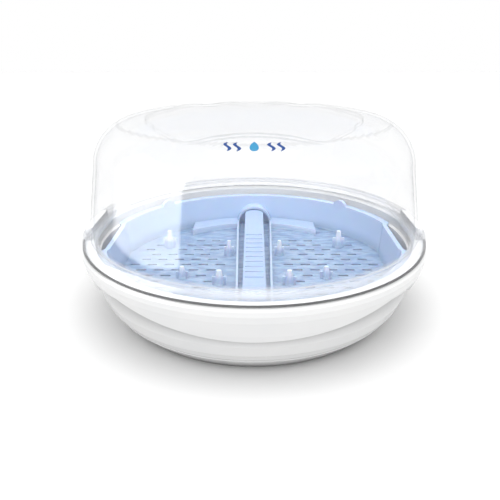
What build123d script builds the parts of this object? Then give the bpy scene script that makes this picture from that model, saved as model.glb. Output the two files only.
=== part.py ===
"""Steam sterilizer for baby bottles: a round base bowl, a drop-in tray, tongs, a clear domed lid and two side clips.

Millimetres, +Z up. The origin is the centre of the foot ring, on the surface that the base stands on. The front is -Y,
and the two clips are at +X and -X.
"""

from build123d import *
import os
from math import cos, radians, sin, sqrt

# ---- driving dimensions -------------------------------------------------------------------------------------------
WALL = 2.2  # moulded wall of every piece
REST = 0.1  # between faces that rest on each other

# base
FOOT_R = 107.7  # outer edge of the foot ring
FOOT_BAND = 7.0  # width of the foot ring
FLOOR_UNDER = 1.2  # the floor's underside, raised inside the foot ring
FLOOR_TOP = 3.4
BOWL_R = 129.2  # the bowl's outer wall above its curved side
BOWL_SIDE = (  # the curved side, radius and height, with a fine step
    (110.6, 3), (115.4, 8), (121.0, 14), (124.0, 18.6), (124.8, 19.2), (125.6, 21), (128.4, 28),
)
LEDGE_Z = 54.9  # the shelf that the tray's rim rests on
RIM_IN_R = 130.5  # inside of the base above the shelf
RIM_TOP = 62.8
RIM_R = 140.0
SKIRT = ((140.9, 60.6), (141.0, 57.0), (139.8, 52.0), (137.4, 46.0), (134.9, 40.0), (132.2, 34.5))
SKIRT_LOW = 34.5  # the skirt's lowest edge
SKIRT_HIGH = 50.0  # its edge between the front and the grips
SKIRT_ARC = 290.0  # radius of the rise from one to the other
GRIP_HALF = 76.0  # half the width of the deeper grips at the two sides
GRIP_LOW = 43.8  # the grips' lower edge
FILL_LINE_Z = 12.0  # moulded water level

# tray
TRAY_RIM_R = 129.4
TRAY_RIM_TOP = 57.0
TRAY_TOP_R = 124.4  # outside of the wall, under the rim
TRAY_LOW_R = 121.8  # outside of the wall, at the floor
TRAY_FLOOR = 28.0  # upper face of the floor
TRAY_NOTCH_X = 120.0  # the rim is drawn in to here at the two sides
TRAY_NOTCH = 72.0  # width of that notch
SLOT = 3.0  # width of the drain slots
SLOT_LONG = 9.0
SLOT_PITCH = 15.0  # from slot to slot along a row
ROW_PITCH = 11.5  # from row to row, front to back
ROW_FIRST = -63.0
ROWS = 12
CHANNEL_FRONT = 12.0  # half the width of the tongs' channel
CHANNEL_BACK = 16.0
CHANNEL_TOP = 34.5
CHANNEL_START = -86.0
CHANNEL_END = 106.0
ARCH_TOP = 48.5
ARCH_Y = 117.0  # middle of the arch, front to back
ARCH_DEEP = 15.0
LEDGE_TOP = 33.5  # raised step along the back of the floor
TAB_R = 123.6  # the two lifting lugs
TAB_TURN = 45.5
TAB_HALF = 7.5
TAB_T = 3.6
TAB_TOP = 62.3
PEGS = (  # place, height and foot radius of the upright pegs
    (-80.0, 47.0, 17.0, 4.2),
    (80.0, 47.0, 17.0, 4.2),
    (-23.0, 27.0, 15.0, 3.4),
    (23.0, 27.0, 15.0, 3.4),
    (-28.5, -34.0, 13.0, 4.4),
    (28.5, -34.0, 13.0, 4.4),
    (-60.0, -22.0, 11.0, 4.0),
    (60.0, -22.0, 11.0, 4.0),
)

# tongs
TONG_HALF = 9.0
TONG_T = 2.6
TONG_BEND_Y = -70.0  # centre of the bend
TONG_BEND_Z = 33.6
TONG_BEND_R = 4.6
TONG_LOW_END = 88.0
TONG_TOP_END = 108.0
TONG_TOP_Z = 45.4
RIB_START = -44.0
RIB_STEP = 9.5
RIBS = 10

# lid
LIP_R = 129.8
LIP_LOW = TRAY_RIM_TOP + REST
LIP_TOP = 67.0
DOME_FOOT = (133.7, 73.9)
DOME_SHOULDER = (126.7, 124.5)
CROWN_R = 91.8
CROWN_Z = 160.0
PANEL_DEEP = 1.5  # the crown's sunk panel
PANEL_CORNERS = (((43, 101), 13), ((72, 52), 24), ((0, 75), 30))  # one quarter's corners, and how round they are
FLANGE_LOW = 63.5
POCKET_X = 124.0  # the flat side pocket's foot
POCKET_LOW = 72.0
POCKET_TOP = 95.0
NOTCH_X = 130.3  # the flange is cut away outside this, where a clip stands

# clips
CLIP_HALF = 24.0
CLIP_OUTSIDE = (  # radius and height, flush with the skirt and the lid's flange
    (136.7, 44.4), (137.4, 46.0), (139.8, 52.0), (141.0, 57.0), (140.9, 60.6), (140.1, 64.2),
    (139.6, 69.4), (138.6, 71.4), (136.8, 72.4),
)
CLIP_INSIDE = (
    (130.0, 72.4), (130.0, 70.2), (135.4, 70.0), (137.1, 68.4), (138.0, 64.2), (138.3, 60.6), (138.4, 57.0),
    (137.2, 52.0), (134.8, 46.0), (134.3, 44.6),
)
CLIP_NOSE_X = 130.9
CLIP_PIN_X = 131.9
CLIP_PIN_Z = 47.5
CLIP_PIN_R = 1.8
CLIP_PIN_PLAY = 0.08
CLIP_SIDE = 0.6  # gap between the clip and the skirt beside it
EAR = 5.0  # width of an ear on the base that holds one pin
BAY_R = 130.4  # back of the bay that a clip swings through, below the rim's wall
BAY_TOP = 51.0
BAY_RIM_R = 133.6  # back of the bay beside the rim's wall
BAY_EDGE_R = 137.9  # how far the rim reaches over the bay


def ring(points):
    """A solid of revolution about Z from a closed outline of radius and height."""
    outline = Polyline(*[(r, 0, z) for r, z in points], close=True)
    return revolve(make_face(outline), Axis.Z, 360)


def side_block(points, low_y, high_y):
    """A prism along Y from an outline of X and Z."""
    face = make_face(Polyline(*[(x, low_y, z) for x, z in points], close=True))
    return extrude(face, amount=high_y - low_y, dir=(0, 1, 0))


def one(shape):
    """The single solid that a piece is."""
    solids = shape.solids()
    return max(solids, key=lambda s: s.volume)


# ---- base ---------------------------------------------------------------------------------------------------------
def bowl():
    """The water bowl with its foot ring and the shelf for the tray."""
    side = list(BOWL_SIDE)
    inside = [(r - WALL, z + 0.9) for r, z in reversed(side)]
    return ring(
        [(0, FLOOR_UNDER), (FOOT_R - FOOT_BAND, FLOOR_UNDER), (FOOT_R - FOOT_BAND + 0.8, 0), (FOOT_R, 0)]
        + side
        + [(BOWL_R, 34.5), (BOWL_R, LEDGE_Z - 3.4), (RIM_IN_R + WALL, LEDGE_Z - 1.0), (RIM_IN_R + WALL, RIM_TOP)]
        + [(RIM_IN_R, RIM_TOP), (RIM_IN_R, LEDGE_Z), (BOWL_R - WALL, LEDGE_Z), (BOWL_R - WALL, 34.5)]
        + inside
        + [(FOOT_R - 3.0, FLOOR_TOP), (0, FLOOR_TOP)]
    )


def skirt():
    """The rolled outer wall, deep at the front and back and at the two side grips."""
    inside = [(r - WALL, z) for r, z in reversed(SKIRT)]
    wall = ring(
        [(RIM_IN_R + WALL - 0.5, RIM_TOP), (RIM_R - 0.8, RIM_TOP), (RIM_R, RIM_TOP - 0.8)]
        + list(SKIRT)
        + inside[:-1]
        + [(SKIRT[0][0] - WALL, RIM_TOP - WALL), (RIM_IN_R + WALL - 0.5, RIM_TOP - WALL)]
    )
    low = SKIRT_LOW - 5
    slab = Pos(0, 0, (low + SKIRT_HIGH) / 2) * Box(400, 400, SKIRT_HIGH - low)
    arc = Pos(0, 0, SKIRT_LOW + SKIRT_ARC) * Rot(90, 0, 0) * Cylinder(SKIRT_ARC, 500)
    keep = Pos(0, 0, GRIP_LOW + 100) * Box(400, 2 * GRIP_HALF, 200)
    return wall - (slab - arc - keep)


def fill_line():
    """A fine moulded ring inside the bowl at the water level."""
    r = 121.0 - WALL
    return ring([(r - 2.6, FILL_LINE_Z - 0.5), (r + 0.6, FILL_LINE_Z - 0.5), (r + 0.6, FILL_LINE_Z + 0.5),
                 (r - 2.6, FILL_LINE_Z + 0.5)])


def right_strip(half):
    """Everything at the right within half a width of the middle."""
    return Pos(150, 0, 50) * Box(200, 2 * half, 200)


def clip_bay():
    """The opening in the skirt that a clip swings through, shallower beside the rim."""
    steps = [(BAY_R, 20), (BAY_R, BAY_TOP), (BAY_RIM_R, BAY_TOP), (BAY_RIM_R, RIM_TOP - WALL),
             (BAY_EDGE_R, RIM_TOP - WALL), (BAY_EDGE_R, 80), (160, 80), (160, 20)]
    return ring(steps) & right_strip(CLIP_HALF + CLIP_SIDE)


def ears():
    """Two ears between bowl and skirt, bored for the clip's pins."""
    outline = [(124.5, 43.5), (131.5, 43.5), (134.0, 46.5), (134.8, 52.0), (124.5, 52.5)]
    near = CLIP_HALF + CLIP_SIDE
    return [side_block(outline, near, near + EAR), side_block(outline, -near - EAR, -near)]


def pin_holes():
    hole = Rot(90, 0, 0) * Cylinder(CLIP_PIN_R + CLIP_PIN_PLAY, 2 * (CLIP_HALF + CLIP_SIDE + EAR - 1.0))
    return Pos(CLIP_PIN_X, 0, CLIP_PIN_Z) * hole


def base():
    body = bowl() + skirt() + fill_line()
    inside = ring([(0, FLOOR_TOP), (118, FLOOR_TOP + 14), (BOWL_R - WALL, 34.5), (BOWL_R - WALL, 60), (0, 60)])
    for turn in (0, 180):
        body = body - Rot(0, 0, turn) * clip_bay()
        for ear in ears():
            body = body + Rot(0, 0, turn) * (ear - inside)
        body = body - Rot(0, 0, turn) * pin_holes()
    return one(body)


# ---- clips --------------------------------------------------------------------------------------------------------
def clip():
    """The right clip: a curved plate flush with the skirt, with a nose above and a hub with two pins below."""
    shell = ring(list(CLIP_OUTSIDE) + list(CLIP_INSIDE)) & right_strip(CLIP_HALF)
    plate = shell - Pos(CLIP_NOSE_X - 50, 0, 70) * Box(100, 200, 20)
    x, z = CLIP_PIN_X, CLIP_PIN_Z
    hub = side_block(
        [(x - 1.0, z - 1.4), (x + 2.4, z - 2.6), (x + 4.4, z + 1.0), (x + 4.8, z + 4.6), (x + 0.6, z + 2.4),
         (x - 1.0, z + 1.4)],
        -CLIP_HALF,
        CLIP_HALF,
    )
    pin_length = 2 * (CLIP_HALF + CLIP_SIDE + EAR - 1.4)
    pin = Pos(x, 0, z) * Rot(90, 0, 0) * Cylinder(CLIP_PIN_R, pin_length)
    return one(plate + hub + pin)


# ---- tray ---------------------------------------------------------------------------------------------------------
def tray_outline(radius, notch_x, z):
    """A circle drawn in at the two sides, with soft corners."""
    shape = Circle(radius)
    for s in (-1, 1):
        shape = shape - Pos(s * (notch_x + 30), 0) * RectangleRounded(60, TRAY_NOTCH, 9)
    corners = [v for v in shape.vertices() if abs(sqrt(v.X**2 + v.Y**2) - radius) < 0.01 and abs(v.Y) > 5]
    return Pos(0, 0, z) * fillet(corners, 7)


def tray_shell():
    """The tray's wall, floor and turned-out rim."""
    outer = loft([
        tray_outline(TRAY_LOW_R, TRAY_NOTCH_X - 3.6, TRAY_FLOOR - WALL).face(),
        tray_outline(TRAY_TOP_R, TRAY_NOTCH_X - 1.6, TRAY_RIM_TOP).face(),
    ], ruled=True)
    inner = loft([
        tray_outline(TRAY_LOW_R - WALL, TRAY_NOTCH_X - 3.6 - WALL, TRAY_FLOOR).face(),
        tray_outline(TRAY_TOP_R - WALL, TRAY_NOTCH_X - 1.6 - WALL, TRAY_RIM_TOP + 0.001).face(),
    ], ruled=True)
    rim = extrude(tray_outline(TRAY_RIM_R, TRAY_NOTCH_X, LEDGE_Z + REST), amount=TRAY_RIM_TOP - LEDGE_Z - REST)
    return outer + rim - inner


def slot_is_clear(x, y):
    """Whether a slot here keeps clear of the channel, the pegs, the back step and the wall."""
    half = SLOT_LONG / 2
    from_pegs = min(sqrt((x - px) ** 2 + (y - py) ** 2) for px, py, height, foot in PEGS)
    reach = sqrt((abs(x) + half) ** 2 + y**2)
    return abs(x) > CHANNEL_BACK + 3 + half and from_pegs > 10 and reach < (112 if y < 60 else 90)


def drain_slots():
    """Staggered rows of short slots across the floor."""
    cuts = []
    for row in range(ROWS):
        y = ROW_FIRST + row * ROW_PITCH
        for k in range(-7, 8):
            x = (k + 0.5 * (row % 2)) * SLOT_PITCH
            if slot_is_clear(x, y):
                cuts.append(Pos(x, y) * SlotOverall(SLOT_LONG, SLOT))
    return extrude(Pos(0, 0, TRAY_FLOOR - WALL - 1) * (Sketch() + cuts), amount=WALL + 2)


def pegs():
    made = []
    for x, y, height, foot in PEGS:
        cone = Pos(x, y, TRAY_FLOOR - 0.5 + height / 2) * Cone(foot, foot * 0.45, height)
        fin = Pos(x, y, TRAY_FLOOR - 0.5 + height * 0.3) * Box(2.6 * foot, 1.6, height * 0.6)
        made += [cone, fin]
    return made


def channel():
    """Two low walls that hold the tongs, wider at the back, where they end in an arched niche."""
    made = []
    for s in (-1, 1):
        wall = [(s * CHANNEL_FRONT, CHANNEL_START), (s * CHANNEL_BACK, CHANNEL_END),
                (s * (CHANNEL_BACK + 1.8), CHANNEL_END), (s * (CHANNEL_FRONT + 1.8), CHANNEL_START)]
        face = make_face(Polyline(*[(x, y, TRAY_FLOOR - 0.5) for x, y in wall], close=True))
        made.append(extrude(face, amount=CHANNEL_TOP - TRAY_FLOOR + 0.5, dir=(0, 0, 1)))
    return made


def arch():
    """The niche's raised arch on the back wall."""
    outer_r = CHANNEL_BACK + 1.8
    inner_r = CHANNEL_BACK - 0.4
    spring_z = ARCH_TOP - outer_r
    made = []
    for r in (outer_r, inner_r):
        low = TRAY_FLOOR - 0.5
        stilt = Pos(0, ARCH_Y, (low + spring_z) / 2) * Box(2 * r, ARCH_DEEP, spring_z - low)
        head = Pos(0, ARCH_Y, spring_z) * Rot(90, 0, 0) * Cylinder(r, ARCH_DEEP)
        made.append(stilt + head)
    return made[0] - made[1]


def back_step():
    """The raised step between floor and back wall, on each side of the niche."""
    outline = ring([(99, TRAY_FLOOR - 0.5), (TRAY_LOW_R - 1, TRAY_FLOOR - 0.5), (TRAY_LOW_R - 1, LEDGE_TOP),
                    (101, LEDGE_TOP)])
    made = []
    for s in (-1, 1):
        made.append(outline & (Pos(s * (CHANNEL_BACK + 23), 105, 30) * Box(46, 60, 20)))
    return made


def tray_tabs():
    """Two half-round lugs on the rim at the back for lifting the tray out."""
    lug = Pos(TAB_R, 0, TAB_TOP - TAB_HALF) * Rot(0, 90, 0) * Cylinder(TAB_HALF, TAB_T)
    return [Rot(0, 0, a) * lug for a in (TAB_TURN, 180 - TAB_TURN)]


def tray():
    inside = loft([
        tray_outline(TRAY_LOW_R - 0.4, TRAY_NOTCH_X - 4.0, TRAY_FLOOR - 1).face(),
        tray_outline(TRAY_TOP_R - 0.4, TRAY_NOTCH_X - 2.0, TRAY_RIM_TOP).face(),
    ], ruled=True)
    body = tray_shell()
    for piece in channel() + pegs():
        body = body + piece
    for piece in [arch()] + back_step():
        body = body + (piece & inside)
    body = body - drain_slots()
    for tab in tray_tabs():
        body = body + tab
    return one(body)


# ---- tongs --------------------------------------------------------------------------------------------------------
def strap(points, half):
    """A flat strap along Y: its side outline, Y and Z, across its width."""
    face = make_face(Polyline(*[(-half, y, z) for y, z in points], close=True))
    return extrude(face, amount=2 * half, dir=(1, 0, 0))


def rounded_tip(end_y, half):
    """What an arm keeps at its far end: everything up to a half-round tip."""
    body = Pos(0, end_y - half - 200, 40) * Box(2 * half, 400, 60)
    return body + Pos(0, end_y - half, 40) * Cylinder(half, 60)


def tongs_lower():
    low = TRAY_FLOOR + REST
    arm = strap([(TONG_BEND_Y, low), (TONG_LOW_END, low), (TONG_LOW_END, low + TONG_T), (TONG_BEND_Y, low + TONG_T)],
                TONG_HALF)
    return one(arm & rounded_tip(TONG_LOW_END, TONG_HALF))


def tongs_upper():
    start = TONG_BEND_Z + TONG_BEND_R - TONG_T
    arm = strap([(TONG_BEND_Y, start), (TONG_TOP_END, TONG_TOP_Z - TONG_T), (TONG_TOP_END, TONG_TOP_Z),
                 (TONG_BEND_Y, start + TONG_T)], TONG_HALF)
    ribs = []
    for k in range(RIBS):
        y = RIB_START + RIB_STEP * k
        z = start + TONG_T + (TONG_TOP_Z - TONG_T - start) * (y - TONG_BEND_Y) / (TONG_TOP_END - TONG_BEND_Y)
        ribs.append(Pos(0, y, z) * Box(2 * TONG_HALF - 3, 1.6, 1.4))
    arm = arm & rounded_tip(TONG_TOP_END, TONG_HALF)
    for rib in ribs:
        arm = arm + rib
    return one(arm)


def tongs_bend():
    """The half-round spring bend that joins the two arms."""
    low = TRAY_FLOOR + REST
    top = TONG_BEND_Z + TONG_BEND_R
    mid = (low + top) / 2
    r = (top - low) / 2
    tube = Pos(0, TONG_BEND_Y, mid) * Rot(0, 90, 0) * (Cylinder(r, 2 * TONG_HALF) - Cylinder(r - TONG_T, 30))
    front = Pos(0, TONG_BEND_Y - 20, mid) * Box(60, 40, 60)
    return tube & front


# ---- lid ----------------------------------------------------------------------------------------------------------
def dome_points(inset):
    """The dome's outline from its foot to the crown's centre, moved inwards by the wall."""
    foot_r, foot_z = DOME_FOOT
    wall_r, wall_z = DOME_SHOULDER
    crown_r = CROWN_R - inset * 0.2
    crown_z = CROWN_Z - inset
    wall_r = wall_r - inset
    points = [(foot_r - inset, foot_z)]
    for k in range(13):
        a = radians(7.5 * k)
        points.append((crown_r + (wall_r - crown_r) * cos(a), wall_z + (crown_z - wall_z) * sin(a)))
    return points + [(0, crown_z)]


def panel(inset):
    """What the sunk panel takes from the crown: four soft lobes with a waist at the front and the back."""
    quarter = [corner for corner, radius in PANEL_CORNERS]
    lobe, side, waist = quarter
    half = [side, lobe, waist, (-lobe[0], lobe[1]), (-side[0], side[1])]
    face = make_face(Polyline(*half, *[(-x, -y) for x, y in half], close=True))
    for (x, y), radius in PANEL_CORNERS:
        corners = [v for v in face.vertices() if abs(abs(v.X) - x) < 0.01 and abs(abs(v.Y) - y) < 0.01]
        face = fillet(corners, radius)
    if inset:
        face = offset(face, inset)
    floor = Pos(0, 0, -PANEL_DEEP) * ring([(0, 100), (DOME_SHOULDER[0] - inset, 100)] + dome_points(inset)[1:])
    return extrude(Pos(0, 0, 130) * face, amount=40) - floor


def pocket(inset):
    """The flat-backed side pocket at +X, moved inwards by the wall for the lid's inside."""
    low = POCKET_LOW - inset
    lean = (131.4 - POCKET_X) / (POCKET_TOP - POCKET_LOW)
    x = POCKET_X - inset
    return side_block([(x, low), (170, low), (170, POCKET_TOP + 60), (x + lean * (POCKET_TOP + 60 - low),
                      POCKET_TOP + 60)], -80, 80)


def lid_body(inset):
    """The lid's filled form, on the outside (no inset) or the inside."""
    lip_r = LIP_R - inset
    lip_low = LIP_LOW - (1 if inset else 0)
    points = [(0, lip_low), (lip_r, lip_low), (lip_r, LIP_TOP), (DOME_FOOT[0] - inset, LIP_TOP + 3.4)]
    body = ring(points + dome_points(inset)) - panel(inset)
    for turn in (0, 180):
        body = body - Rot(0, 0, turn) * pocket(inset)
    return body


def flange():
    """The turned-out rim that covers the base's edge."""
    foot_r, foot_z = DOME_FOOT
    return ring([(foot_r - 0.6, foot_z), (foot_r, foot_z), (137.6, 72.4), (139.5, 69.6), (140.0, FLANGE_LOW)]
                + [(138.0, FLANGE_LOW), (137.6, 68.8), (136.2, 70.6), (foot_r - 0.6, 71.6)])


def lid():
    body = lid_body(0) + flange() - lid_body(WALL)
    for turn in (0, 180):
        notch = Pos(NOTCH_X + 20, 0, 70) * Box(40, 2 * (CLIP_HALF + 1.2), 20)
        body = body - Rot(0, 0, turn) * notch
    return one(body)


# ---- the pieces ---------------------------------------------------------------------------------------------------
def pieces():
    right = clip()
    return {
        "base": base(),
        "clip_right": right,
        "clip_left": Rot(0, 0, 180) * right,
        "tray": tray(),
        "tongs_lower": one(tongs_lower() + tongs_bend()),
        "tongs_upper": tongs_upper(),
        "lid": lid(),
    }


os.makedirs("parts", exist_ok=True)
for name, solid in pieces().items():
    export_step(solid, f"parts/{name}.step")
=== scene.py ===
"""The bottle sterilizer's looks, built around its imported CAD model. Metres, +Z up, the front is -Y."""

import math

import bmesh
import bpy
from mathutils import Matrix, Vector


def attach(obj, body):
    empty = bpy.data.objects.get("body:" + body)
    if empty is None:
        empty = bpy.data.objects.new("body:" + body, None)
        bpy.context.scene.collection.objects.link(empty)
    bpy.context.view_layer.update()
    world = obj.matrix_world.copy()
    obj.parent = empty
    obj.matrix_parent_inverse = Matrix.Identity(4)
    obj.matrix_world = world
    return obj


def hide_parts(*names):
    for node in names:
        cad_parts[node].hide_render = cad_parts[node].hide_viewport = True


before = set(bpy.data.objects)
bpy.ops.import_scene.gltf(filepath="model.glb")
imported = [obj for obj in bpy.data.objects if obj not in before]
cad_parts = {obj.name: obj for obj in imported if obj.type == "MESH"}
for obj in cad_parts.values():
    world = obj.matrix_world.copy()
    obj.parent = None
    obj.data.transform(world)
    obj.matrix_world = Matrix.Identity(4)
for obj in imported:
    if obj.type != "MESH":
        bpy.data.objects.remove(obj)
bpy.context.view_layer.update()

MM = 0.001

# ---- the lid's sizes, in mm, as the CAD lid has them --------------------------------------------------
WALL = 2.2
LIP_R, LIP_LOW, LIP_TOP = 129.8, 57.1, 67.0
FOOT_R, FOOT_Z = 133.7, 73.9
SHOULDER_R, SHOULDER_Z = 126.7, 124.5
CROWN_R, CROWN_Z = 91.8, 160.0
PANEL_DEEP = 1.5
PANEL_CORNERS = (((72, 52), 24), ((43, 101), 13), ((0, 75), 30))
FLANGE_LOW = 63.5
POCKET_X, POCKET_LOW, POCKET_TOP = 124.0, 72.0, 95.0
POCKET_TOP_X = 131.4  # the leaning pocket's back, at its top
POCKET_REACH = 130.0  # the pockets have run out of the wall by this height
POCKET_SOFT = 0.8  # how softly a pocket's edge turns
NOTCH_X, NOTCH_HALF = 130.3, 25.2
FLANGE_R = 137.0
SEAM_R, SEAM_HIGH = 136.0, 0.4  # what lies outside this radius and this little above FLANGE_LOW is painted near-black as the seam's shade
BEND = SHOULDER_R - CROWN_R  # the shoulder's bend, from crown to wall
PANEL_STEP = 2.4  # width of the step round the sunk panel
PANEL_REACH = 115.0  # the panel's step lies inside this radius
PRINT_OUT = 0.12  # how far the print stands off the lid
PRINT_TURN = 36  # degrees down the shoulder to the print's lower edge
PRINT_BEND = 35.2  # millimetres along the shoulder for each radian of its bend

# ---- places that the materials use, in metres ---------------------------------------------------------
RIM_FADE = (0.052, 0.056)  # the base's painted corner shade ends, and its painted light on the lid's seat begins, between these heights
SIDE_HIGH = 0.050  # the bowl's painted side shade spreads from the foot to here
BOWL_OUT_R = 0.1302  # the bowl's side, which gets the painted side shade, lies inside this radius
WELL_R = 0.1375  # the seat for the lid's lip, painted brighter, lies inside this radius
FLOOR_FADE = (0.0285, 0.0300)  # the tray floor's ripples and their painted shade end between these heights
PEG_FADE = (0.033, 0.038)  # the pegs' painted highlight fades in between these heights
PEG_R = 0.1  # the pegs, and their painted highlight, stand inside this radius
LIP_FADE = (0.066, 0.069)  # the lid turns milkier from lip to flange between these heights
FLANGE_FADE = (0.0715, 0.0755)  # and clears again between these
CROWN_FADE = (0.118, 0.150)  # the wall's tint gives way to the crown's between these


# ---- helpers ------------------------------------------------------------------------------------------
def smoothstep(t):
    """0 to 1, flat at both ends."""
    t = min(1.0, max(0.0, t))
    return t * t * (3 - 2 * t)


def mesh_object(name, verts, faces, smooth_angle=35):
    """A mesh object from points in mm, smooth apart from its sharp edges."""
    mesh = bpy.data.meshes.new(name)
    mesh.from_pydata([tuple(c * MM for c in v) for v in verts], [], faces)
    mesh.update()
    obj = bpy.data.objects.new(name, mesh)
    bpy.context.scene.collection.objects.link(obj)
    bm = bmesh.new()
    bm.from_mesh(mesh)
    bmesh.ops.remove_doubles(bm, verts=bm.verts, dist=1e-6)
    bmesh.ops.recalc_face_normals(bm, faces=bm.faces)
    bm.to_mesh(mesh)
    bm.free()
    shade(obj, smooth_angle)
    return obj


def shade(obj, angle):
    """Smooth shading, split along edges sharper than the angle."""
    obj.data.shade_smooth()
    obj.data.set_sharp_from_angle(angle=math.radians(angle))


def grid_object(name, rings):
    """A mesh from rings of points about Z. A ring of one point closes the surface there."""
    verts, starts = [], []
    for ring in rings:
        starts.append(len(verts))
        verts += ring
    faces = []
    for row in range(len(rings) - 1):
        here, below = starts[row], starts[row + 1]
        n = max(len(rings[row]), len(rings[row + 1]))
        for k in range(n):
            j = (k + 1) % n
            if len(rings[row]) == 1:
                faces.append((here, below + j, below + k))
            elif len(rings[row + 1]) == 1:
                faces.append((here + k, here + j, below))
            else:
                faces.append((here + k, here + j, below + j, below + k))
    return mesh_object(name, verts, faces)


# ---- lid ----------------------------------------------------------------------------------------------
def rounded(corners, steps=8):
    """A closed outline with its corners rounded, from corners of a place and a radius."""
    points = []
    count = len(corners)
    for k, (place, radius) in enumerate(corners):
        corner = Vector(place)
        back = (Vector(corners[k - 1][0]) - corner).normalized()
        ahead = (Vector(corners[(k + 1) % count][0]) - corner).normalized()
        half = back.angle(ahead) / 2
        middle = corner + (back + ahead).normalized() * (radius / math.sin(half))
        start = corner + back * (radius / math.tan(half)) - middle
        end = corner + ahead * (radius / math.tan(half)) - middle
        for n in range(steps + 1):
            points.append(middle + start.slerp(end, n / steps).normalized() * radius)
    return points


def panel_outline():
    """The sunk panel's outline as (direction, radius) pairs, in order of direction."""
    side, lobe, waist = PANEL_CORNERS
    quarter = [side, lobe, waist]
    left = [((-x, y), r) for (x, y), r in (lobe, side)]
    back = quarter + left
    front = [((-x, -y), r) for (x, y), r in back]
    polar = [(math.atan2(p.y, p.x) % (2 * math.pi), p.length) for p in rounded(back + front)]
    return sorted(polar)


def outline_radius(outline, angle):
    """The outline's radius in a direction."""
    angle %= 2 * math.pi
    after = next((k for k, point in enumerate(outline) if point[0] >= angle), 0)
    a0, r0 = outline[after - 1]
    a1, r1 = outline[after]
    gap = (a1 - a0) % (2 * math.pi)
    share = ((angle - a0) % (2 * math.pi)) / gap if gap else 0
    return r0 + (r1 - r0) * share


def round_bend(r):
    """How far round the shoulder a radius lies: 0 on the flat crown, 1 at the wall."""
    return min(1.0, max(0.0, r - CROWN_R) / BEND)


def dome_height(r):
    """The crown and shoulder's height at a radius, without the sunk panel."""
    t = round_bend(r)
    return SHOULDER_Z + (CROWN_Z - SHOULDER_Z) * math.sqrt(1 - t * t)


def inward(r, inset):
    """How far in and how far down the inside of the wall lies from an outside point of the crown."""
    t = round_bend(r)
    return inset * t, inset * math.sqrt(1 - t * t)


def crown_rings(angles, inset):
    """The crown with its sunk panel, then the shoulder, as rings from the middle out."""
    outline = panel_outline()
    edges = [outline_radius(outline, a) for a in angles]
    rows = [[(share * e, PANEL_DEEP) for e in edges] for share in (0.2, 0.4, 0.6, 0.75, 0.88, 0.95)]
    step_rows = 6
    for k in range(step_rows + 1):
        t = k / step_rows
        rows.append([(e + PANEL_STEP * (t - 0.5), PANEL_DEEP * (1 - smoothstep(t))) for e in edges])
    steps = 22
    for k in range(1, steps + 1):
        row = []
        for e in edges:
            start = e + PANEL_STEP / 2
            turn_start = math.asin(max(0.0, start - CROWN_R) / BEND)
            flat = max(0.0, CROWN_R - start)
            curve = BEND * (math.pi / 2 - turn_start)
            at = (flat + curve) * k / steps
            if at < flat:
                row.append((start + at, 0))
            else:
                turn = turn_start + (at - flat) / BEND
                row.append((CROWN_R + BEND * math.sin(min(turn, math.pi / 2)), 0))
        rows.append(row)
    rings = [[(0, 0, CROWN_Z - PANEL_DEEP - inset)]]
    for row in rows:
        ring = []
        for a, (r, sunk) in zip(angles, row):
            lean, down = inward(r, inset)
            ring.append(((r - lean) * math.cos(a), (r - lean) * math.sin(a), dome_height(r) - sunk - down))
        rings.append(ring)
    return rings


def lid_point(angle, r, z, inset):
    """A point of the lid, pressed flat by the side pockets."""
    x, y = r * math.cos(angle), r * math.sin(angle)
    low = POCKET_LOW - inset
    if low < z < POCKET_REACH:
        lean = (POCKET_TOP_X - POCKET_X) / (POCKET_TOP - POCKET_LOW)
        limit = POCKET_X - inset + lean * (z - low)
        over = abs(x) - limit
        if over > -POCKET_SOFT * 4:
            x = math.copysign(abs(x) - POCKET_SOFT * math.log1p(math.exp(min(40.0, over / POCKET_SOFT))), x)
    return (x, y, z)


def notch_point(angle, r, z):
    """A point of the flange, cut back where a clip stands."""
    x, y = r * math.cos(angle), r * math.sin(angle)
    if abs(y) < NOTCH_HALF and abs(x) > NOTCH_X:
        x = math.copysign(NOTCH_X, x)
    return (x, y, z)


def lid_angles():
    """Directions round the lid, closer together beside the notches for the clips."""
    count = 288
    angles = [2 * math.pi * k / count for k in range(count)]
    half = math.asin(NOTCH_HALF / FLANGE_R)
    close = 0.002
    for side in (0, math.pi):
        for edge in (-half, half):
            angles += [side + edge - close, side + edge + close]
    return sorted(a % (2 * math.pi) for a in angles)


def wall_radius(z):
    """The dome wall's outer radius between shoulder and foot."""
    t = (SHOULDER_Z - z) / (SHOULDER_Z - FOOT_Z)
    return SHOULDER_R + (FOOT_R - SHOULDER_R) * t


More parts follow.
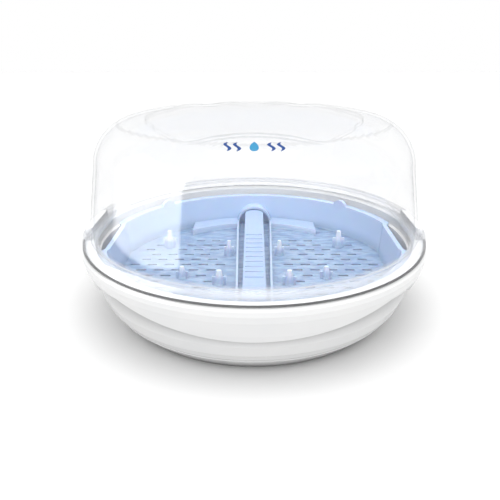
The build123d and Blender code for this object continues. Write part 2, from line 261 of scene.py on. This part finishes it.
def lid_shell():
    """The clear lid: crown, shoulder, wall with its side pockets, flange and lip, closed inside and out."""
    angles = lid_angles()
    rings = crown_rings(angles, 0)
    heights = [120, 116, 112, 108, 104, 100, 97, 94, 91, 88, 85, 82, 79, 76.5, 74.2, 72.9, 72.3, 72.02]
    for z in heights:
        rings.append([lid_point(a, wall_radius(z), z, 0) for a in angles])
    flange = [(FOOT_R + 0.3, 71.98), (FOOT_R + 1.0, 73.5), (FOOT_R + 2.2, 73.4), (137.2, 72.7),
              (138.6, 71.4), (139.5, 69.6), (139.9, 67.0), (140.0, FLANGE_LOW + 0.3), (139.8, FLANGE_LOW),
              (138.3, FLANGE_LOW), (138.0, FLANGE_LOW + 0.6), (137.6, 68.8), (136.2, 70.2), (134.0, 70.6),
              (132.6, 69.6)]
    for r, z in flange:
        rings.append([notch_point(a, r, z) for a in angles])
    lip = [(130.2, 68.0), (LIP_R, LIP_TOP), (LIP_R, 62), (LIP_R, LIP_LOW + 0.4), (LIP_R - 0.4, LIP_LOW),
           (LIP_R - WALL + 0.4, LIP_LOW), (LIP_R - WALL, LIP_LOW + 0.4), (LIP_R - WALL, 62),
           (LIP_R - WALL, LIP_TOP + 0.8), (FOOT_R - WALL - 0.4, 69.2)]
    for r, z in lip:
        rings.append([(r * math.cos(a), r * math.sin(a), z) for a in angles])
    wall_low = 74
    for z in reversed(heights):
        low = z - WALL if z < wall_low else z
        rings.append([lid_point(a, wall_radius(max(z, wall_low)) - WALL, low, WALL) for a in angles])
    inner = crown_rings(angles, WALL)
    rings += reversed(inner)
    obj = grid_object("lid_shell", rings)
    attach(obj, "lid")
    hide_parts("lid")
    dress_lid(obj)


def dress_lid(obj):
    """Gives the lid its plastic, with painted shade: a near-black strip for the shadowed seam under the
    flange, and a greyer copy of the plastic on the panel's step.
    """
    # The third material is a greyer copy of the clear plastic: painted shade on the panel's step.
    for mat in (clear_plastic("clear_plastic", 1.0), shaded_edge(), clear_plastic("clear_step_shaded", 0.91)):
        obj.data.materials.append(mat)
    seam_shade_top = (FLANGE_LOW + SEAM_HIGH) * MM
    panel_low = (CROWN_Z - PANEL_DEEP - WALL) * MM
    flat = 0.93
    for face in obj.data.polygons:
        x, y, z = face.center
        out = math.hypot(x, y)
        # Painted shade: the seam's lowest flange faces get the near-black shaded_edge material.
        if out > SEAM_R * MM and z < seam_shade_top:
            face.material_index = 1
        # Painted shade: the panel's steep step faces take the greyer copy.
        elif z > panel_low and abs(face.normal.z) < flat and out < PANEL_REACH * MM:
            face.material_index = 2


# ---- mark ---------------------------------------------------------------------------------------------
def on_shoulder(u, v):
    """A point just outside the lid's front shoulder, u mm to the right and v mm up the curve."""
    turn = math.radians(PRINT_TURN) - v / PRINT_BEND
    r = CROWN_R + BEND * math.sin(turn) + PRINT_OUT * math.sin(turn)
    z = SHOULDER_Z + (CROWN_Z - SHOULDER_Z) * math.cos(turn) + PRINT_OUT * math.cos(turn)
    angle = -math.pi / 2 + u / r
    return (r * math.cos(angle), r * math.sin(angle), z)


def printed(name, rows, mat):
    """A printed shape from rows of height, left and right."""
    verts, faces = [], []
    across = 4
    for v, left, right in rows:
        verts += [on_shoulder(left + (right - left) * k / across, v) for k in range(across + 1)]
    for row in range(len(rows) - 1):
        for k in range(across):
            a = row * (across + 1) + k
            faces.append((a, a + 1, a + across + 2, a + across + 1))
    obj = mesh_object(name, verts, faces)
    obj.data.materials.append(mat)
    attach(obj, "lid")


def steam_mark():
    """A plain printed sign for steam: a drop between rising waves."""
    ink = blue_plastic("mark_ink", (0.006, 0.05, 0.22), (0.005, 0.045, 0.20), 0.0)
    drop_ink = blue_plastic("drop_ink", (0.02, 0.24, 0.42), (0.02, 0.22, 0.40), 0.0)
    tall, low = 8.5, 1.0
    steps = 16
    for k, middle in enumerate((-16.5, -10.5, 10.5, 16.5)):
        rows = []
        for n in range(steps + 1):
            t = n / steps
            sway = 1.5 * math.sin(2 * math.pi * t)
            half = 0.35 + 0.95 * math.sin(math.pi * t) ** 0.6
            rows.append((low + tall * t, middle + sway - half, middle + sway + half))
        printed(f"mark_wave_{k}", rows, ink)
    rows = []
    for n in range(steps + 1):
        t = n / steps
        half = 3.6 * math.sqrt(max(0.0, 1 - (2 * t - 1) ** 2)) * (1 - t) ** 0.45
        rows.append((low + 9.5 * t, -half, half))
    printed("mark_drop", rows, drop_ink)


# ---- materials ----------------------------------------------------------------------------------------
def new_material(name):
    """A material with its node tree emptied, and the tree's nodes, links and output."""
    mat = bpy.data.materials.new(name)
    mat.use_nodes = True
    nodes, links = mat.node_tree.nodes, mat.node_tree.links
    nodes.clear()
    out = nodes.new("ShaderNodeOutputMaterial")
    return mat, nodes, links, out


def noise(nodes, links, scale, detail=3.0):
    """Noise in object space."""
    coords = nodes.new("ShaderNodeTexCoord")
    tex = nodes.new("ShaderNodeTexNoise")
    tex.inputs["Scale"].default_value = scale
    tex.inputs["Detail"].default_value = detail
    links.new(coords.outputs["Object"], tex.inputs["Vector"])
    return tex


def ramp(nodes, links, source, stops):
    """A colour ramp over a value."""
    node = nodes.new("ShaderNodeValToRGB")
    node.color_ramp.elements[0].position = stops[0][0]
    node.color_ramp.elements[0].color = (*stops[0][1], 1)
    node.color_ramp.elements[1].position = stops[-1][0]
    node.color_ramp.elements[1].color = (*stops[-1][1], 1)
    for at, colour in stops[1:-1]:
        node.color_ramp.elements.new(at).color = (*colour, 1)
    links.new(source, node.inputs["Fac"])
    return node


def span(nodes, links, source, low, high):
    """Spreads a 0 to 1 value between two others."""
    node = nodes.new("ShaderNodeMapRange")
    node.inputs["To Min"].default_value = low
    node.inputs["To Max"].default_value = high
    links.new(source, node.inputs["Value"])
    return node.outputs["Result"]


def multiplied(nodes, links, one, other):
    """Two colours multiplied."""
    node = nodes.new("ShaderNodeMix")
    node.data_type = "RGBA"
    node.blend_type = "MULTIPLY"
    node.inputs[0].default_value = 1.0
    links.new(one, node.inputs[6])
    links.new(other, node.inputs[7])
    return node.outputs[2]


def mixed(nodes, links, share, colour, other):
    """A colour that turns into a plain one by a share."""
    node = nodes.new("ShaderNodeMix")
    node.data_type = "RGBA"
    links.new(share, node.inputs[0])
    links.new(colour, node.inputs[6])
    node.inputs[7].default_value = (*other, 1)
    return node.outputs[2]


def bump(nodes, links, source, strength, distance):
    """A bumped normal."""
    node = nodes.new("ShaderNodeBump")
    node.inputs["Strength"].default_value = strength
    node.inputs["Distance"].default_value = distance
    links.new(source, node.inputs["Height"])
    return node.outputs["Normal"]


def calculate(nodes, links, operation, *values):
    """One step of arithmetic on values or sockets, kept between 0 and 1."""
    node = nodes.new("ShaderNodeMath")
    node.operation = operation
    node.use_clamp = True
    for socket, value in zip(node.inputs, values):
        if isinstance(value, (int, float)):
            socket.default_value = value
        else:
            links.new(value, socket)
    return node.outputs["Value"]


def mixed_shaders(nodes, links, share, one, other):
    """Two shaders mixed by a value or a socket."""
    node = nodes.new("ShaderNodeMixShader")
    if isinstance(share, float):
        node.inputs["Fac"].default_value = share
    else:
        links.new(share, node.inputs["Fac"])
    links.new(one, node.inputs[1])
    links.new(other, node.inputs[2])
    return node.outputs["Shader"]


def coordinate(nodes, links, axis):
    """One coordinate in object space."""
    coords = nodes.new("ShaderNodeTexCoord")
    split = nodes.new("ShaderNodeSeparateXYZ")
    links.new(coords.outputs["Object"], split.inputs["Vector"])
    return split.outputs[axis]


def by_height(nodes, links, heights, at_low, at_high):
    """A value that goes from one to another between two heights, in metres."""
    node = nodes.new("ShaderNodeMapRange")
    node.interpolation_type = "SMOOTHSTEP"
    links.new(coordinate(nodes, links, "Z"), node.inputs["Value"])
    node.inputs["From Min"].default_value, node.inputs["From Max"].default_value = heights
    node.inputs["To Min"].default_value = at_low
    node.inputs["To Max"].default_value = at_high
    return node.outputs["Result"]


def from_axis(nodes, links):
    """The level vector from the upright axis through the middle."""
    flat = nodes.new("ShaderNodeCombineXYZ")
    links.new(coordinate(nodes, links, "X"), flat.inputs["X"])
    links.new(coordinate(nodes, links, "Y"), flat.inputs["Y"])
    return flat.outputs["Vector"]


def axis_distance(nodes, links):
    """The distance from the upright axis."""
    length = nodes.new("ShaderNodeVectorMath")
    length.operation = "LENGTH"
    links.new(from_axis(nodes, links), length.inputs[0])
    return length.outputs["Value"]


def turned_inward(nodes, links):
    """1 on faces that don't look away from the upright axis, else 0."""
    coords = nodes.new("ShaderNodeTexCoord")
    dot = nodes.new("ShaderNodeVectorMath")
    dot.operation = "DOT_PRODUCT"
    links.new(coords.outputs["Normal"], dot.inputs[0])
    links.new(from_axis(nodes, links), dot.inputs[1])
    return calculate(nodes, links, "LESS_THAN", dot.outputs["Value"], 0.0005)


def grey(value):
    """A grey colour."""
    return (value, value, value)


def painted_crevice_shade(nodes, links):
    """Painted shade: grey in the base's own corners, from ambient occlusion."""
    corner = nodes.new("ShaderNodeAmbientOcclusion")
    corner.samples = 8
    corner.only_local = True
    corner.inputs["Distance"].default_value = 0.022
    painted_shade = ramp(nodes, links, corner.outputs["AO"], [(0.0, (0.10, 0.10, 0.11)), (0.55, (0.45, 0.45, 0.46)),
                                                     (0.95, grey(1.0))])
    return painted_shade.outputs["Color"]


def painted_side_shade(nodes, links):
    """Painted shade: grey on the bowl's side at the foot and up under the skirt."""
    height = nodes.new("ShaderNodeMapRange")
    links.new(coordinate(nodes, links, "Z"), height.inputs["Value"])
    height.inputs["From Max"].default_value = SIDE_HIGH
    stops = [(0.0, 0.12), (0.07, 0.55), (0.2, 0.95), (0.55, 0.94), (0.92, 0.60)]
    painted_shade = ramp(nodes, links, height.outputs["Result"], [(at, grey(value)) for at, value in stops])
    return painted_shade.outputs["Color"]


def white_plastic():
    """Glossy white polypropylene, faintly wavy, with painted shade in its corners and on the bowl's outside,
    and painted light on the seat under the lid.
    """
    mat, nodes, links, out = new_material("white_plastic")
    shader = nodes.new("ShaderNodeBsdfPrincipled")
    wave = noise(nodes, links, 30)
    plain = ramp(nodes, links, wave.outputs["Fac"], [(0.3, (0.68, 0.685, 0.69)), (0.7, grey(0.70))])
    above = by_height(nodes, links, RIM_FADE, 0.0, 1.0)
    # Painted shade in the corners, below the rim only.
    corners = mixed(nodes, links, above, painted_crevice_shade(nodes, links), grey(1))
    # Painted shade on the bowl's outside, inside BOWL_OUT_R, kept off faces that turn inward.
    distance = axis_distance(nodes, links)
    beyond = calculate(nodes, links, "GREATER_THAN", distance, BOWL_OUT_R)
    side = mixed(nodes, links, beyond, painted_side_shade(nodes, links), grey(1))
    painted_shade = multiplied(nodes, links, side, corners)
    painted_shade = mixed(nodes, links, turned_inward(nodes, links), painted_shade, grey(1))
    # Painted light: the seat under the lid, inside WELL_R and above the rim, is made brighter (0.84 against
    # about 0.69).
    painted_light_mask = calculate(nodes, links, "MULTIPLY", above, calculate(nodes, links, "LESS_THAN", distance, WELL_R))
    colour_with_painted_light = mixed(nodes, links, painted_light_mask, plain.outputs["Color"], grey(0.84))
    links.new(multiplied(nodes, links, colour_with_painted_light, painted_shade), shader.inputs["Base Color"])
    grain = noise(nodes, links, 220, 4)
    links.new(span(nodes, links, grain.outputs["Fac"], 0.14, 0.22), shader.inputs["Roughness"])
    links.new(bump(nodes, links, wave.outputs["Fac"], 0.05, 0.0006), shader.inputs["Normal"])
    shader.inputs["IOR"].default_value = 1.5
    links.new(shader.outputs["BSDF"], out.inputs["Surface"])
    return mat


def ripples(nodes, links):
    """Fine ripples that run from side to side."""
    coords = nodes.new("ShaderNodeTexCoord")
    stretch = nodes.new("ShaderNodeMapping")
    stretch.inputs["Scale"].default_value = (1.0, 1.9, 1.0)
    links.new(coords.outputs["Object"], stretch.inputs["Vector"])
    tex = nodes.new("ShaderNodeTexNoise")
    tex.inputs["Scale"].default_value = 95
    tex.inputs["Detail"].default_value = 1.0
    links.new(stretch.outputs["Vector"], tex.inputs["Vector"])
    return tex.outputs["Fac"]


def blue_plastic(name, floor_colour, wall_colour, see_through, pale=0.0):
    """Translucent blue polypropylene, deeper in colour at the floor with a second colour higher up (lighter
    on tray and tongs: painted light up the walls), rippled at the tray's floor with painted shade in the
    ripples, and a painted highlight on the pegs by the given share.
    """
    mat, nodes, links, out = new_material(name)
    shader = nodes.new("ShaderNodeBsdfPrincipled")
    # Painted light: the colour turns from the floor colour to the second colour between 26 and 40 mm up; on
    # the tray and tongs the second is lighter.
    high = ramp(nodes, links, by_height(nodes, links, (0.026, 0.040), 0.0, 1.0),
                [(0.0, floor_colour), (1.0, wall_colour)])
    wave = noise(nodes, links, 40)
    cloudy = ramp(nodes, links, wave.outputs["Fac"], [(0.3, (0.95, 0.95, 0.96)), (0.7, grey(1.0))])
    colour = multiplied(nodes, links, high.outputs["Color"], cloudy.outputs["Color"])
    # Painted highlight: pale tops on what stands inside PEG_R above PEG_FADE.
    middle = calculate(nodes, links, "LESS_THAN", axis_distance(nodes, links), PEG_R)
    painted_peg_highlight = calculate(nodes, links, "MULTIPLY", middle, by_height(nodes, links, PEG_FADE, 0.0, pale))
    colour = mixed(nodes, links, painted_peg_highlight, colour, (0.90, 0.92, 0.97))
    grain = noise(nodes, links, 300, 4)
    links.new(span(nodes, links, grain.outputs["Fac"], 0.10, 0.20), shader.inputs["Roughness"])
    ripple = ripples(nodes, links)
    on_floor = by_height(nodes, links, FLOOR_FADE, 1.0, 0.04)
    # Painted shade on the floor, darker in the ripples' hollows.
    painted_ripple_shade = ramp(nodes, links, ripple, [(0.38, (0.72, 0.76, 0.84)), (0.60, grey(1.0))])
    off_floor = calculate(nodes, links, "SUBTRACT", 1.0, on_floor)
    ripple_shade_colour = mixed(nodes, links, off_floor, painted_ripple_shade.outputs["Color"], grey(1))
    links.new(multiplied(nodes, links, colour, ripple_shade_colour), shader.inputs["Base Color"])
    height = calculate(nodes, links, "MULTIPLY", ripple, on_floor)
    links.new(bump(nodes, links, height, 0.9, 0.0022), shader.inputs["Normal"])
    shader.inputs["IOR"].default_value = 1.49
    shader.inputs["Subsurface Weight"].default_value = 0.3
    shader.inputs["Subsurface Scale"].default_value = 0.01
    clear = nodes.new("ShaderNodeBsdfTransparent")
    clear.inputs["Color"].default_value = (0.62, 0.76, 0.95, 1)
    surface = mixed_shaders(nodes, links, see_through, shader.outputs["BSDF"], clear.outputs["BSDF"])
    links.new(surface, out.inputs["Surface"])
    return mat


def edge_tint(nodes, links, facing, share):
    """The clear plastic's tint, darker towards the outlines, on the wall sooner than on the crown."""
    crown_stops = ((0.0, 0.997), (0.91, 0.994), (0.96, 0.92), (1.0, 0.70))
    wall_stops = ((0.0, 0.997), (0.79, 0.989), (0.89, 0.93), (1.0, 0.70))
    crown, wall = (ramp(nodes, links, facing, [(at, grey(share * value)) for at, value in stops])
                   for stops in (crown_stops, wall_stops))
    tint = nodes.new("ShaderNodeMix")
    tint.data_type = "RGBA"
    links.new(by_height(nodes, links, CROWN_FADE, 0.0, 1.0), tint.inputs[0])
    links.new(wall.outputs["Color"], tint.inputs[6])
    links.new(crown.outputs["Color"], tint.inputs[7])
    return tint.outputs[2]


def milky(nodes, links):
    """The plastic's own cloudy body, which shines on its surface and glows with light from behind."""
    white = (0.83, 0.845, 0.87, 1)
    skin = nodes.new("ShaderNodeBsdfPrincipled")
    skin.inputs["Base Color"].default_value = white
    skin.inputs["IOR"].default_value = 1.5
    haze = noise(nodes, links, 14)
    links.new(span(nodes, links, haze.outputs["Fac"], 0.05, 0.12), skin.inputs["Roughness"])
    glow = nodes.new("ShaderNodeBsdfTranslucent")
    glow.inputs["Color"].default_value = white
    return mixed_shaders(nodes, links, 0.45, skin.outputs["BSDF"], glow.outputs["BSDF"])


def clear_plastic(name, tint_share):
    """Polished clear polypropylene: milkier in the thick flange, greyer seen edge-on.

    Light on its way to other pieces passes its milk and its shine.
    """
    mat, nodes, links, out = new_material(name)
    weight = nodes.new("ShaderNodeLayerWeight")
    weight.inputs["Blend"].default_value = 0.5
    facing = weight.outputs["Facing"]
    path = nodes.new("ShaderNodeLightPath")
    seen = calculate(nodes, links, "SUBTRACT", 1.0, path.outputs["Is Shadow Ray"])
    clear = nodes.new("ShaderNodeBsdfTransparent")
    links.new(edge_tint(nodes, links, facing, tint_share), clear.inputs["Color"])
    lip = by_height(nodes, links, LIP_FADE, 0.3, 1.0)
    milk = calculate(nodes, links, "MULTIPLY", lip, by_height(nodes, links, FLANGE_FADE, 0.30, 0.012))
    limb = calculate(nodes, links, "MULTIPLY", calculate(nodes, links, "POWER", facing, 5.0), 0.12)
    share = calculate(nodes, links, "MULTIPLY", calculate(nodes, links, "ADD", milk, limb), seen)
    body = mixed_shaders(nodes, links, share, clear.outputs["BSDF"], milky(nodes, links))
    shine = nodes.new("ShaderNodeBsdfGlossy")
    shine.inputs["Roughness"].default_value = 0.06
    edge_on = calculate(nodes, links, "POWER", facing, 8.0)
    mirror = calculate(nodes, links, "MULTIPLY_ADD", edge_on, 0.25, 0.05)
    mirror = calculate(nodes, links, "MULTIPLY", mirror, seen)
    links.new(mixed_shaders(nodes, links, mirror, body, shine.outputs["BSDF"]), out.inputs["Surface"])
    return mat


def shaded_edge():
    """Painted shade: an opaque, near-black strip on the flange's lowest faces, standing for the shadowed
    seam.
    """
    mat, nodes, links, out = new_material("shaded_edge")
    shader = nodes.new("ShaderNodeBsdfPrincipled")
    patch = noise(nodes, links, 25)
    colour = ramp(nodes, links, patch.outputs["Fac"], [(0.3, grey(0.03)), (0.7, grey(0.05))])
    links.new(colour.outputs["Color"], shader.inputs["Base Color"])
    shader.inputs["Roughness"].default_value = 0.35
    links.new(shader.outputs["BSDF"], out.inputs["Surface"])
    return mat


def paint(node, mat):
    """Gives a CAD node its material."""
    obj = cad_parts[node]
    obj.data.materials.clear()
    obj.data.materials.append(mat)
    for polygon in obj.data.polygons:
        polygon.material_index = 0


# ---- stage --------------------------------------------------------------------------------------------
def floor():
    """A plain pale floor."""
    half = 3.0
    corners = [(-half, -half, 0), (half, -half, 0), (half, half, 0), (-half, half, 0)]
    mesh = bpy.data.meshes.new("floor")
    mesh.from_pydata(corners, [], [(0, 1, 2, 3)])
    obj = bpy.data.objects.new("floor", mesh)
    bpy.context.scene.collection.objects.link(obj)
    mat, nodes, links, out = new_material("floor_white")
    shader = nodes.new("ShaderNodeBsdfDiffuse")
    shader.inputs["Color"].default_value = (0.70, 0.70, 0.70, 1)
    links.new(shader.outputs["BSDF"], out.inputs["Surface"])
    mesh.materials.append(mat)


def area_light(name, at, aim, size, power):
    """A rectangular lamp at one place, aimed at another."""
    light = bpy.data.lights.new(name, "AREA")
    light.shape = "RECTANGLE"
    light.size, light.size_y = size
    light.energy = power
    obj = bpy.data.objects.new(name, light)
    obj.location = at
    obj.rotation_euler = (Vector(aim) - Vector(at)).to_track_quat("-Z", "Y").to_euler()
    bpy.context.scene.collection.objects.link(obj)
    return obj


def lights():
    """Plain soft studio light: a surround that is brighter overhead and in front, a lamp above and a softbox.

    The camera and reflections see the surround as even white.
    """
    world = bpy.data.worlds.new("studio")
    world.use_nodes = True
    nodes, links = world.node_tree.nodes, world.node_tree.links
    coords = nodes.new("ShaderNodeTexCoord")
    lean = nodes.new("ShaderNodeVectorMath")
    lean.operation = "DOT_PRODUCT"
    links.new(coords.outputs["Generated"], lean.inputs[0])
    lean.inputs[1].default_value = (0.0, -0.40, 1.0)
    sky = nodes.new("ShaderNodeMapRange")
    links.new(lean.outputs["Value"], sky.inputs["Value"])
    sky.inputs["To Min"].default_value = 0.09
    sky.inputs["To Max"].default_value = 2.1
    seen = nodes.new("ShaderNodeLightPath")
    strength = nodes.new("ShaderNodeMix")
    links.new(calculate(nodes, links, "ADD", seen.outputs["Is Camera Ray"], seen.outputs["Is Glossy Ray"]),
              strength.inputs[0])
    links.new(sky.outputs["Result"], strength.inputs[2])
    strength.inputs[3].default_value = 1.0
    links.new(strength.outputs[0], nodes["Background"].inputs["Strength"])
    nodes["Background"].inputs["Color"].default_value = (1, 1, 1, 1)
    bpy.context.scene.world = world
    box = area_light("softbox_left", (-0.42, -0.2, 0.2), (0, -0.12, 0.16), (0.46, 0.5), 3.2)
    box.visible_diffuse = False
    area_light("softbox_top", (0.0, -0.25, 1.5), (0, 0, 0.1), (0.9, 0.9), 6)


def camera():
    """A camera a little above the object, looking down at its front."""
    data = bpy.data.cameras.new("camera")
    data.lens = 38.89
    data.sensor_width = 36
    data.shift_x = -0.0084
    data.shift_y = -0.0676
    data.clip_start = 0.01
    obj = bpy.data.objects.new("camera", data)
    obj.location = (0, -0.4325, 0.22105)
    obj.rotation_euler = (math.radians(71.34), 0, 0)
    bpy.context.scene.collection.objects.link(obj)
    bpy.context.scene.camera = obj


# ---- the object ---------------------------------------------------------------------------------------
def dress():
    """Gives every piece its looks."""
    white = white_plastic()
    for node in ("base", "clip_right", "clip_left"):
        paint(node, white)
    # The second, lighter blue is painted light up the walls; pale sets the pegs' painted highlight.
    paint("tray", blue_plastic("tray_blue", (0.33, 0.47, 0.66), (0.575, 0.715, 0.95), 0.18, pale=0.7))
    tongs = blue_plastic("tongs_blue", (0.33, 0.45, 0.65), (0.44, 0.58, 0.82), 0.2)
    for node in ("tongs_lower", "tongs_upper"):
        paint(node, tongs)
    lid_shell()
    steam_mark()


bpy.context.scene.view_settings.view_transform = "Standard"
dress()
floor()
lights()
camera()
